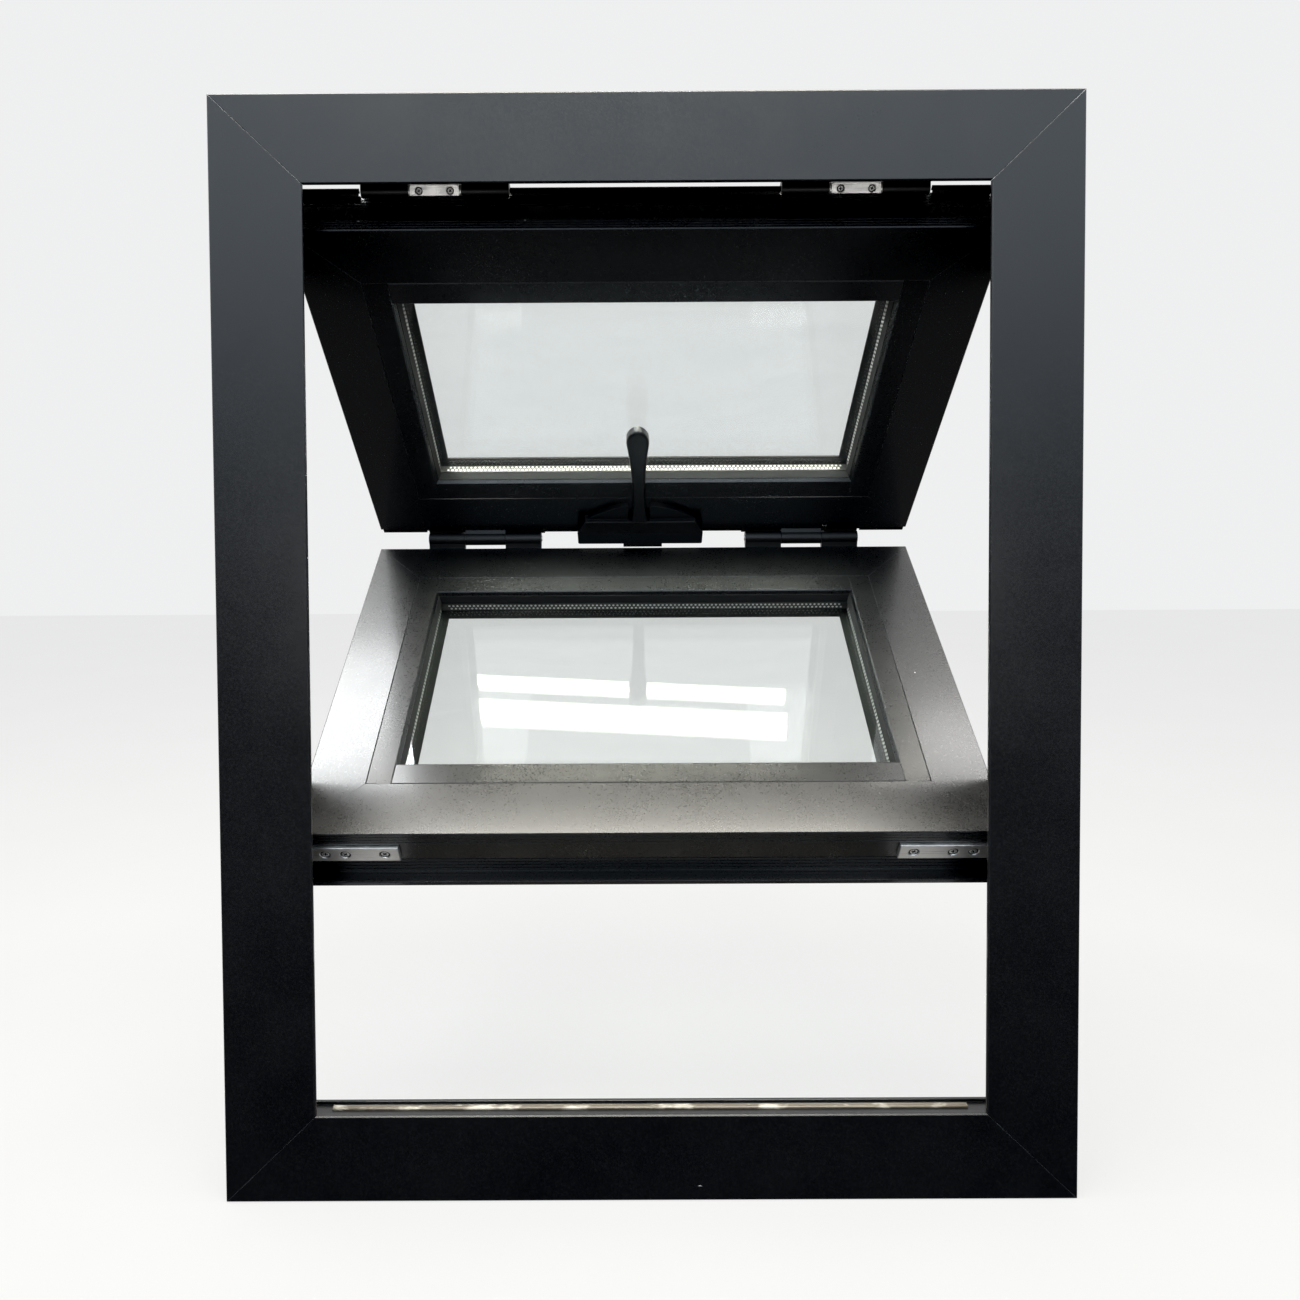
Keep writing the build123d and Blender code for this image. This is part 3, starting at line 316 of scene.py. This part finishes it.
def seal_strip(name):
    """Extruded seal on the sill: satin, wiped along its length; its brownish tone is a painted warm reflection and its
    pale blotches are painted highlights.
    """
    m = Mat(name)
    drag = m.noise(m.coords(scale=(9, 500, 500)), 1.0, 4.0, 0.65, 0.3)
    painted_glint_blotch = m.noise(m.coords(scale=(34, 80, 80)), 1.0, 3.0, 0.6)
    # painted reflection: a brownish tone, then pale blotches as painted highlights of lamps
    tone = m.mix(m.span(drag, 0.35, 0.7), (0.085, 0.070, 0.052), (0.17, 0.145, 0.11))
    tone = m.mix(m.span(painted_glint_blotch, 0.52, 0.66, 0.0, 0.8), tone, (0.52, 0.49, 0.43))
    m.link(tone, "Base Color")
    m.link(m.span(drag, 0.3, 0.7, 0.22, 0.38), "Roughness")
    m.link(m.bump(drag, 0.1, 0.0002, m.bevel(0.0004)), "Normal")
    return m.mat


MATS = {
    "frame_coat": coat("frame_powder_coat", (0.0022, 0.0024, 0.0029), (0.0032, 0.0035, 0.0041), 0.34, gloss=0.10, gloss_rough=0.20, edge=0.5),
    "sash_coat": coat("sash_powder_coat", (0.0024, 0.0026, 0.0031), (0.0034, 0.0037, 0.0043), 0.30, dust=0.03, gloss=0.35, gloss_rough=0.14),
    "bead_coat": coat("bead_powder_coat", (0.0024, 0.0026, 0.0031), (0.0034, 0.0037, 0.0043), 0.30, dust=0.03, gloss=0.35, gloss_rough=0.16),
    "hinge_coat": coat("hinge_powder_coat", (0.0022, 0.0023, 0.0027), (0.0032, 0.0033, 0.0038), 0.46, 0.8, gloss=0.05),
    "handle_coat": coat("handle_satin_black", (0.0022, 0.0025, 0.0031), (0.0032, 0.0035, 0.0042), 0.32, 0.6, gloss=0.1),
    "bright_steel": steel("brushed_steel"),
    "glass": glass("pane_glass"),
    "spacer": spacer_bar("spacer_aluminium"),
    "gasket": rubber("black_rubber", (0.0050, 0.0050, 0.0052), (0.0085, 0.0085, 0.0088), 0.72),
    "sill_seal": seal_strip("sill_seal_strip"),
    "roller": rubber("black_nylon", (0.012, 0.012, 0.012), (0.020, 0.020, 0.020), 0.42),
}

for node in nodes.values():
    name = node["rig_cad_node"]
    if name.startswith("frame_gasket") or name.endswith(("glazing_gaskets", "weather_seals")):
        slot = "gasket"
    elif name.startswith("frame_"):
        slot = "frame_coat"
    elif name == "sill_seal":
        slot = "sill_seal"
    elif name.endswith("_pane"):
        slot = "glass"
    elif name.endswith("_spacer"):
        slot = "spacer"
    elif name.endswith("_bead"):
        slot = "bead_coat"
    elif name.startswith(("upper_", "lower_")):
        slot = "sash_coat"
    elif name.startswith("handle_"):
        slot = "handle_coat"
    elif name == "guide_rollers":
        slot = "roller"
    elif name.endswith("guide_plate") or name.endswith("_pins") or (name.startswith("head_") and name.endswith("sash_leaf")):
        slot = "bright_steel"
    else:
        slot = "hinge_coat"
    node.data.materials.clear()
    node.data.materials.append(MATS[slot])


# --- added pieces -------------------------------------------------------------------
def piece(name, bm, slot, smooth=True):
    mesh = bpy.data.meshes.new(name)
    bm.normal_update()
    bm.to_mesh(mesh)
    bm.free()
    ob = bpy.data.objects.new(name, mesh)
    scene.collection.objects.link(ob)
    mesh.materials.append(MATS[slot])
    for f in mesh.polygons:
        f.use_smooth = smooth
    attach(ob, "root")
    return ob


def frame_at(origin, normal, across):
    z = normal.normalized()
    x = (across - z * across.dot(z)).normalized()
    y = z.cross(x)
    m = Matrix((x, y, z)).transposed().to_4x4()
    m.translation = origin
    return m


def screw(name, origin, normal, across, r, shank, turn, deep=2.4, slot="bright_steel"):
    """Countersunk screw with a cross recess; origin on the surface, metres."""
    bm = bmesh.new()
    rings, around = [0.0, 0.1, 0.2, 0.28, 0.34, 0.40, 0.46, 0.52, 0.58, 0.64, 0.74, 0.86, 0.94, 0.985, 1.0], 64
    rad = r * 0.68
    wide = 0.15 * rad

    def height(x, y, t):
        h = -0.00045 - 0.00022 * t * t
        d = min(abs(x), abs(y))
        reach = max(abs(x), abs(y)) / rad
        groove = max(0.0, min(1.0, (wide - d) / (0.09 * rad) + 0.5))
        end = max(0.0, min(1.0, (0.60 - reach) / 0.10))
        h -= 0.0011 * groove * end * (1.0 - 0.35 * reach)
        if t > 0.9:
            h -= 0.00012 * ((t - 0.9) / 0.1) ** 2
        return h

    rows = []
    for t in rings:
        if t == 0.0:
            rows.append([bm.verts.new((0, 0, height(0, 0, 0)))])
            continue
        row = []
        for k in range(around):
            a = 2 * math.pi * k / around
            x, y = rad * t * math.cos(a), rad * t * math.sin(a)
            row.append(bm.verts.new((x, y, height(x, y, t))))
        rows.append(row)
    low = -deep * MM
    for rr, z in ((rad * 0.99, -0.0012), (min(shank, rad * 0.9), low), (shank * 0.8, low - 0.0004)):
        rows.append([bm.verts.new((rr * math.cos(2 * math.pi * k / around), rr * math.sin(2 * math.pi * k / around), z)) for k in range(around)])
    rows.append([bm.verts.new((0, 0, low - 0.0005))])
    for a, b in zip(rows, rows[1:]):
        for k in range(around):
            j = (k + 1) % around
            if len(a) == 1:
                bm.faces.new((a[0], b[k], b[j]))
            elif len(b) == 1:
                bm.faces.new((a[k], b[0], a[j]))
            else:
                bm.faces.new((a[k], b[k], b[j], a[j]))
    place = frame_at(origin, normal, across) @ Matrix.Rotation(turn, 4, "Z")
    bmesh.ops.transform(bm, matrix=place, verts=bm.verts)
    piece(name, bm, slot)

    # painted shade, partly grime: a dark ring in the countersink round the head, and a dark cross in the recess, where
    # shade falls
    bm = bmesh.new()
    ring = []
    for rr, z in ((rad * 0.985, -0.00078), (rad * 1.06, -0.00070), (r * 0.80, -r * 0.20 + 0.00003), (r * 0.86, -r * 0.14 + 0.00003)):
        ring.append([bm.verts.new((rr * math.cos(2 * math.pi * k / around), rr * math.sin(2 * math.pi * k / around), z)) for k in range(around)])
    for a, b in zip(ring, ring[1:]):
        for k in range(around):
            j = (k + 1) % around
            bm.faces.new((a[k], b[k], b[j], a[j]))
    w, e = wide * 1.15, rad * 0.60
    outline = [(w, w), (w, e), (-w, e), (-w, w), (-e, w), (-e, -w), (-w, -w), (-w, -e), (w, -e), (w, -w), (e, -w), (e, w)]
    rim = [bm.verts.new((x, y, -0.00062)) for x, y in outline]
    mid = bm.verts.new((0, 0, -0.00075))
    for k in range(12):
        bm.faces.new((rim[k], rim[(k + 1) % 12], mid))
    bmesh.ops.transform(bm, matrix=place, verts=bm.verts)
    return piece(name + "_grime_and_painted_shade", bm, "gasket")


LEAF_A = math.radians(61.5)
LEAF_UP = U_OUT * math.cos(LEAF_A) + U_UP * math.sin(LEAF_A)
LEAF_IN = U_UP * math.cos(LEAF_A) - U_OUT * math.sin(LEAF_A)
turns = random.Random(11)
for side, sign in (("left", -1), ("right", 1)):
    for i, sx in enumerate((224.5, 258.0, 275.0)):
        screw(f"{side}_guide_screw_{i + 1}", on_lower(sign * sx, SASH_H + 2.5, 25.0), -L_UP, X, 4.9 * MM, 2.3 * MM, turns.uniform(0, 1.5))
    for i, dx in enumerate((-13.5, 13.5)):
        screw(f"{side}_head_hinge_screw_{i + 1}", on_upper(sign * 182.0 + dx, 1.5, 53.0) + LEAF_UP * (3.9 * MM), LEAF_IN, X, 3.5 * MM, 1.7 * MM, turns.uniform(0, 1.5), 1.9)
    for i, dx in enumerate((-48, -16, 16, 48)):
        screw(f"{side}_frame_leaf_screw_{i + 1}", Vector((sign * 182.0 + dx, 35.5, HINGE_Z + 27.0)) * MM, Vector((0, 1, 0)), X, 4.4 * MM, 2.2 * MM, turns.uniform(0, 1.5))

# --- punched holes of the spacer bars: two rows of small craters with a raised rim -------
def craters(name, at, up):
    bm = bmesh.new()
    w, pitch = 78.5, 4.5
    runs = []
    for v, inward in ((w, -up), (SASH_H - w, up)):
        k = int((SASH_W - 2 * w - 14) / pitch)
        runs += [(-k * pitch / 2 + i * pitch, v, inward, X) for i in range(k + 1)]
    for x, inward in ((w - HALF, X), (HALF - w, -X)):
        k = int((SASH_H - 2 * w - 14) / pitch)
        runs += [(x, SASH_H / 2 - k * pitch / 2 + i * pitch, inward, up) for i in range(k + 1)]
    shift = pitch / 2
    for x, v, inward, along in runs:
        for n, s in ((21.6, 0.0), (25.4, shift)):
            here = at(x, v, n) + along * (s * MM)
            m = frame_at(here, inward, along)
            rows = []
            for r, z in ((1.25, 0.0), (1.0, 0.30), (0.55, 0.24)):
                rows.append([bm.verts.new(m @ Vector((r * MM * math.cos(a * math.pi / 4), r * MM * math.sin(a * math.pi / 4), z * MM))) for a in range(8)])
            for a, b in zip(rows, rows[1:]):
                for k in range(8):
                    j = (k + 1) % 8
                    bm.faces.new((a[k], a[j], b[j], b[k]))
            bm.faces.new(rows[-1])
    return piece(name, bm, "bright_steel", smooth=False)


craters("upper_spacer_holes", on_upper, U_UP)
craters("lower_spacer_holes", on_lower, L_UP)

# --- chips in the coat: flat flakes with an uneven outline ------------------------------
def chip(name, origin, normal, wide, high, seed):
    bm = bmesh.new()
    rnd = random.Random(seed)
    m = frame_at(origin, normal, X)
    rim = []
    for k in range(14):
        a = 2 * math.pi * k / 14
        f = rnd.uniform(0.75, 1.05)
        rim.append((wide / 2 * f * math.cos(a), high / 2 * f * math.sin(a)))
    low = [bm.verts.new(m @ Vector((x * MM, y * MM, 0.0))) for x, y in rim]
    top = [bm.verts.new(m @ Vector((x * 0.8 * MM, y * 0.8 * MM, 0.00006))) for x, y in rim]
    for k in range(14):
        j = (k + 1) % 14
        bm.faces.new((low[k], low[j], top[j], top[k]))
    mid = bm.verts.new(m @ Vector((0, 0, 0.00008)))
    for k in range(14):
        bm.faces.new((top[k], top[(k + 1) % 14], mid))
    return piece(name, bm, "bright_steel")


chip("sill_chip", Vector((39.9, -32.0, 12.0)) * MM, Vector((0, -1, 0)), 4.2, 1.2, 3)
chip("lower_stile_chip", on_lower(264.6, 202.5, 0.0), -L_OUT, 1.5, 1.3, 5)
chip("upper_edge_chip_1", on_upper(-241.0, 0.0, 12.6), U_UP, 2.6, 1.4, 7)
chip("upper_edge_chip_2", on_upper(-101.3, 0.0, 12.8), U_UP, 1.9, 1.4, 9)

# --- floor, light, camera -------------------------------------------------------------
bm = bmesh.new()
bmesh.ops.create_grid(bm, x_segments=8, y_segments=8, size=6.0)
bmesh.ops.translate(bm, vec=(0, 0, -0.0004), verts=bm.verts)
mesh = bpy.data.meshes.new("floor")
bm.to_mesh(mesh)
bm.free()
floor = bpy.data.objects.new("floor", mesh)
scene.collection.objects.link(floor)
fm = Mat("floor_paint")
fm.link(fm.mix(fm.span(fm.noise(fm.coords(), 3, 3.0), 0.3, 0.7), (0.055, 0.055, 0.0548), (0.060, 0.060, 0.0598)), "Base Color")
fm.set(Roughness=0.8, Specular_IOR_Level=0.0, Emission_Color=(0.74, 0.74, 0.735, 1), Emission_Strength=1.0)
f_path = fm.nt.nodes.new("ShaderNodeLightPath")
bounced = fm.math("ADD", f_path.outputs["Glossy Depth"], f_path.outputs["Diffuse Depth"])
fm.link(fm.math("SUBTRACT", 1.0, fm.math("MINIMUM", bounced, 1.0)), "Emission Strength")
mesh.materials.append(fm.mat)
floor.visible_glossy = False
floor.visible_diffuse = False

world = bpy.data.worlds.new("studio")
scene.world = world
world.use_nodes = True
wt = world.node_tree
wt.nodes.clear()
w_out = wt.nodes.new("ShaderNodeOutputWorld")
w_bg = wt.nodes.new("ShaderNodeBackground")
wt.links.new(w_bg.outputs[0], w_out.inputs[0])


def w_node(kind, **props):
    n = wt.nodes.new(kind)
    for k, v in props.items():
        setattr(n, k, v)
    return n


def w_span(sock, a, b, lo, hi, smooth=True):
    n = w_node("ShaderNodeMapRange", interpolation_type="SMOOTHSTEP" if smooth else "LINEAR")
    wt.links.new(sock, n.inputs[0])
    for i, v in zip((1, 2, 3, 4), (a, b, lo, hi)):
        n.inputs[i].default_value = v
    return n.outputs[0]


def w_mix(fac, a, b):
    n = w_node("ShaderNodeMix", data_type="RGBA")
    for i, v in ((0, fac), (6, a), (7, b)):
        if isinstance(v, bpy.types.NodeSocket):
            wt.links.new(v, n.inputs[i])
        else:
            n.inputs[i].default_value = (*v, 1) if isinstance(v, tuple) else v
    return n.outputs[2]


w_tc = w_node("ShaderNodeTexCoord")
w_sep = w_node("ShaderNodeSeparateXYZ")
wt.links.new(w_tc.outputs["Generated"], w_sep.inputs[0])
dx, dy, dz = w_sep.outputs


def w_ramp(sock, *stops):
    """Colour by position; positions from -1 to 1."""
    half = w_span(sock, -1.0, 1.0, 0.0, 1.0, False)
    n = w_node("ShaderNodeValToRGB")
    wt.links.new(half, n.inputs[0])
    e = n.color_ramp.elements
    while len(e) < len(stops):
        e.new(0.5)
    for el, (pos, col) in zip(e, stops):
        el.position = pos / 2 + 0.5
        el.color = (*col, 1)
    return n.outputs[0]


room = w_ramp(dz, (-0.45, (0.002, 0.002, 0.003)), (-0.22, (0.055, 0.045, 0.055)), (0.04, (0.07, 0.075, 0.10)), (0.27, (1.60, 1.82, 2.05)),
              (0.42, (1.38, 1.70, 2.02)), (0.70, (1.0, 1.1, 1.2)), (1.0, (0.8, 0.82, 0.84)))
outside = w_mix(w_span(dz, -0.3, 0.1, 0.0, 1.0), (0.30, 0.30, 0.30), (1.0, 1.0, 1.0))
w_path = w_node("ShaderNodeLightPath")


def w_math(op, a, b):
    n = w_node("ShaderNodeMath", operation=op)
    for i, v in ((0, a), (1, b)):
        if isinstance(v, bpy.types.NodeSocket):
            wt.links.new(v, n.inputs[i])
        else:
            n.inputs[i].default_value = v
    return n.outputs[0]


# two pale cards low at the sides, dark between them and behind the panes
sides = w_span(w_math("ABSOLUTE", dx, 0.0), 0.16, 0.24, 0.5, 1.0)
cards = w_math("MULTIPLY", sides, w_math("SUBTRACT", 1.0, w_math("MULTIPLY", w_path.outputs["Is Transmission Ray"], 0.85)))
cards = w_math("MULTIPLY", cards, w_span(dy, -0.62, -0.02, 0.0, 1.0))
below = w_mix(cards, (0.002, 0.002, 0.003), (0.13, 0.13, 0.135))
above = w_mix(w_span(dy, -0.15, 0.35, 0.0, 1.0), room, outside)
light = w_mix(w_span(dz, -0.55, -0.20, 0.0, 1.0), below, above)
# the plain backdrop shows to the camera and straight through the panes only
bounced = w_math("MINIMUM", w_math("ADD", w_path.outputs["Glossy Depth"], w_path.outputs["Diffuse Depth"]), 1.0)
through = w_math("MULTIPLY", w_path.outputs["Is Transmission Ray"], w_math("SUBTRACT", 1.0, bounced))
seen = w_math("MAXIMUM", w_path.outputs["Is Camera Ray"], through)
light = w_mix(seen, light, (0.86, 0.865, 0.87))
wt.links.new(light, w_bg.inputs[0])
w_bg.inputs[1].default_value = 1.0


def softbox(name, at, target, size, watts, colour=(1, 1, 1)):
    data = bpy.data.lights.new(name, "AREA")
    data.shape = "RECTANGLE"
    data.size, data.size_y = size
    data.energy = watts
    data.color = colour
    ob = bpy.data.objects.new(name, data)
    ob.location = at
    ob.rotation_mode = "QUATERNION"
    ob.rotation_quaternion = (Vector(target) - Vector(at)).to_track_quat("-Z", "Y")
    ob.visible_camera = False
    scene.collection.objects.link(ob)
    return ob


def box(name, x0, x1, y0, y1, radiance, colour=(1, 1, 1), z=2.3, turn=0.0):
    """Softbox facing straight down over x0..x1 and y0..y1."""
    at = ((x0 + x1) / 2, (y0 + y1) / 2, z)
    ob = softbox(name, at, (at[0], at[1], 0.0), (x1 - x0, y1 - y0), radiance * math.pi * (x1 - x0) * (y1 - y0), colour)
    ob.rotation_mode = "XYZ"
    ob.rotation_euler = (0.0, 0.0, turn)
    return ob


box("left_overhead", -1.25, -0.58, -0.25, 0.46, 22, (0.97, 0.99, 1.0))
box("right_overhead", 0.80, 1.25, -0.25, 0.27, 13, (1.0, 0.99, 0.98))
box("bar_1", -0.50, 0.44, 0.350, 0.380, 55, (1.0, 0.95, 0.80), turn=-0.052)
box("bar_2", -0.50, 0.44, 0.246, 0.309, 55, (1.0, 0.95, 0.80), turn=-0.052)
box("room_overhead", -1.0, 0.8, -1.20, 0.085, 22, (1.0, 0.96, 0.86))
for name, x in (("left_front", -0.34), ("right_front", 0.34)):
    softbox(name, (x, -0.76, 0.49), (x * 0.535, 0.032, 0.845), (0.18, 0.20), 4.4 * math.pi * 0.036)
for name, x in (("left_low", -0.252), ("right_low", 0.252)):
    low = softbox(name, (x, 0.006, 0.195), (x, 0.0055, 0.28), (0.055, 0.05), 0.36 * math.pi * 0.00275)
    low.visible_transmission = False

cam_data = bpy.data.cameras.new("camera")
cam = bpy.data.objects.new("camera", cam_data)
scene.collection.objects.link(cam)
F_PX, PX, PY = 963.384, -20.389, -86.281
yaw, pitch, roll = 0.00193, -0.02962, 0.00546
R = Matrix.Rotation(yaw, 3, "Z") @ Matrix.Rotation(pitch, 3, "X") @ Matrix.Rotation(roll, 3, "Y")
basis = Matrix((R @ Vector((1, 0, 0)), R @ Vector((0, 0, 1)), -(R @ Vector((0, 1, 0))))).transposed().to_4x4()
basis.translation = Vector((-13.680, -808.372, 547.010)) * MM
cam.matrix_world = basis
cam_data.sensor_fit = "HORIZONTAL"
cam_data.sensor_width = 36.0
cam_data.lens = F_PX / 1300.0 * 36.0
cam_data.shift_x = -PX / 1300.0
cam_data.shift_y = PY / 1300.0
cam_data.clip_start, cam_data.clip_end = 0.02, 100.0
scene.camera = cam

scene.view_settings.view_transform = "Standard"
scene.view_settings.look = "None"
scene.view_settings.use_curve_mapping = True
scene.view_settings.curve_mapping.black_level = (0.0025, 0.0025, 0.0025)
scene.view_settings.curve_mapping.update()
